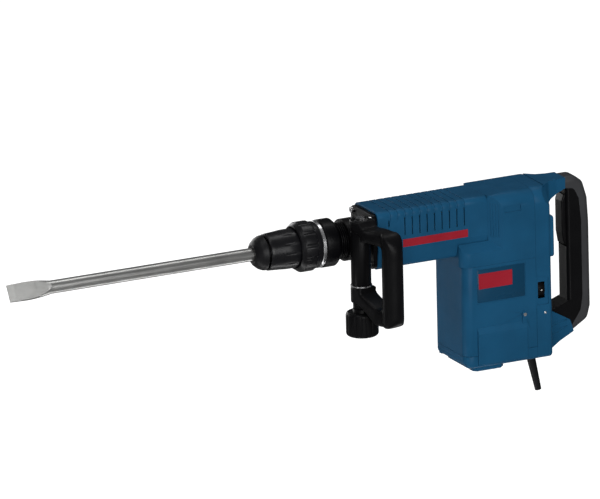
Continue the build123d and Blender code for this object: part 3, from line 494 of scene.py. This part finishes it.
def rounded_plate(work, low, high, corner, side, rim):
    """Thin plate in the XZ plane with round corners and a chamfered outer rim; low and high are
    its (x, y, z) corners, and side is -1 or 1 for the side that it faces."""
    steps = 6    # straight pieces in each round corner
    inner_y, outer_y = (high[1], low[1]) if side < 0 else (low[1], high[1])
    centres = [
        (high[0] - corner, high[2] - corner, 0), (low[0] + corner, high[2] - corner, 90),
        (low[0] + corner, low[2] + corner, 180), (high[0] - corner, low[2] + corner, 270),
    ]

    def outline(inset, y):
        points = []
        for x, z, start in centres:
            for step in range(steps + 1):
                angle = radians(start + 90 * step / steps)
                reach = corner - inset
                points.append((x + reach * cos(angle), y, z + reach * sin(angle)))
        return points

    places = [(0, inner_y), (0, outer_y - side * rim), (rim, outer_y)]
    sweep_ring(work, places, lambda place: outline(*place))


def make_labels():
    """Plain dark label behind the badge in each recess of the motor housing."""
    low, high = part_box("motor_housing")
    middle_x, top, bottom = 0.001, 0.1625, 0.1105
    half_length, thick, recess = 0.0405, 0.0003, 0.0008
    corner, rim = 0.002, 0.0001
    for name, side, face in (("label_left", -1, low[1]), ("label_right", 1, high[1])):
        bed = face - side * recess
        inner, outer = sorted((bed, bed + side * thick))
        first = (middle_x - half_length, inner, bottom)
        last = (middle_x + half_length, outer, top)
        mesh = mesh_from(name, lambda work: rounded_plate(work, first, last, corner, side, rim))
        add_piece(name, mesh, "housing", "blue_plastic", material="label_blue")


def screw_head(work, centre, side, radius, height):
    """Domed screw head that faces along Y, with a six-sided socket."""
    sides, socket_radius = 24, radius * 0.55
    profile = [
        (radius, 0), (radius, height * 0.5), (radius * 0.85, height * 0.85), (radius * 0.6, height),
        (radius * 0.5, height), (radius * 0.45, height * 0.3),
    ]

    def section(place):
        reach, lift = place
        points = []
        for angle in ring_angles(sides):
            flat = 1 if reach > socket_radius else cos((angle % (pi / 3)) - pi / 6)
            out = reach / flat
            x, z = centre[0] + out * cos(angle), centre[2] + out * sin(angle)
            points.append((x, centre[1] + side * lift, z))
        return points

    sweep_ring(work, profile, section)


def make_shell_screws():
    """One small screw head on each side of the rear shell, above the lower arm of the handle."""
    low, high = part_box("rear_shell")
    middle_x, middle_z, sink = 0.0750, 0.0790, 0.0003
    radius, height = 0.0022, 0.0012
    for name, side, face in (("shell_screw_left", -1, low[1]), ("shell_screw_right", 1, high[1])):
        centre = (middle_x, face - side * sink, middle_z)
        mesh = mesh_from(name, lambda work: screw_head(work, centre, side, radius, height))
        add_piece(name, mesh, "housing", "bright_steel")


def make_arm_ridges():
    """Two raised ridges along each side of the arm that carries the lower end of the handle."""
    arm_side = [
        (0.0890, 0.0331), (0.0945, 0.0280), (0.1000, 0.0230), (0.1080, 0.0207),
        (0.1160, 0.0185), (0.1230, 0.0184), (0.1290, 0.0183),
    ]    # x and half width of the arm
    ridge_ends = ((0.0450, 0.0500), (0.0270, 0.0400))    # height of each ridge's front and rear end
    sides, radius, flatness, tip = 10, 0.0021, 0.55, 0.35
    for side in (-1, 1):
        for index, (start_z, end_z) in enumerate(ridge_ends):
            name = f"arm_ridge_{'left' if side < 0 else 'right'}_{index + 1}"
            places = []
            for step, (x, y) in enumerate(arm_side):
                share = step / (len(arm_side) - 1)
                swell = radius * (tip + (1 - tip) * sin(pi * (share * 0.9 + 0.05)))
                places.append((x, side * y, start_z + (end_z - start_z) * share, swell))

            def section(place):
                x, y, z, swell = place
                return [(x, y + flatness * swell * cos(a), z + swell * sin(a)) for a in ring_angles(sides)]

            mesh = mesh_from(name, lambda work: sweep_ring(work, places, section))
            add_piece(name, mesh, "housing", "blue_plastic")


def make_shoulder_ribs():
    """Fine upright ribs on the slanted front corners of the gear housing."""
    front, back = Vector((-0.0130, 0.0400)), Vector((0.0050, 0.0540))
    low_z, high_z, radius, sides = 0.2080, 0.2620, 0.0007, 8
    ribs, first_share, share_step = 4, 0.22, 0.18
    taper, tip = 0.001, 0.2
    places = [(low_z, tip), (low_z + taper, 1.0), (high_z - taper, 1.0), (high_z, tip)]
    for side in (-1, 1):
        name = f"shoulder_ribs_{'left' if side < 0 else 'right'}"

        def build(work):
            for rib in range(ribs):
                spot = front.lerp(back, first_share + share_step * rib)

                def section(place):
                    z, swell = place
                    reach = swell * radius
                    return [
                        (spot.x + reach * cos(a), side * spot.y + reach * sin(a), z)
                        for a in ring_angles(sides)
                    ]

                sweep_ring(work, places, section)

        add_piece(name, mesh_from(name, build), "housing", "blue_plastic")


def make_wheel_mark():
    """White index mark on the rim of the speed wheel."""
    low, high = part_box("speed_wheel")
    half_length, half_height, sink, depth = 0.0016, 0.0022, 0.0002, 0.0016
    corner, rim = 0.0008, 0.0002
    middle_x, face, middle_z = (low[0] + high[0]) / 2, low[1], (low[2] + high[2]) / 2
    first = (middle_x - half_length, face + sink, middle_z - half_height)
    last = (middle_x + half_length, face + depth, middle_z + half_height)
    mesh = mesh_from("wheel_mark", lambda work: rounded_plate(work, first, last, corner, -1, rim))
    add_piece("wheel_mark", mesh, "speed_wheel", "white_plastic")


def make_hub_teeth():
    """Fine radial teeth on the top of the side handle's hub, round the bolt head."""
    low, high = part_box("clamp_bolt")
    centre = ((low[0] + high[0]) / 2, (low[1] + high[1]) / 2)
    hub_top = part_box("side_grip")[1][2]
    teeth, inner, outer, half_width = 28, 0.0106, 0.0152, 0.0005
    root, crest = 0.0014, 0.0003    # depths below the hub's top
    base = Vector((*centre, hub_top - root))
    ridge = Vector((0, 0, root - crest))

    def build(work):
        for angle in ring_angles(teeth):
            along = Vector((cos(angle), sin(angle), 0))
            across = Vector((-sin(angle), cos(angle), 0))

            def section(middle):
                return [middle - across * half_width, middle + across * half_width, middle + ridge]

            sweep_ring(work, (base + along * inner, base + along * outer), section)

    add_piece("hub_teeth", mesh_from("hub_teeth", build), "side_handle", "black_plastic")


make_labels()
make_shell_screws()
make_arm_ridges()
make_shoulder_ribs()
make_wheel_mark()
make_hub_teeth()
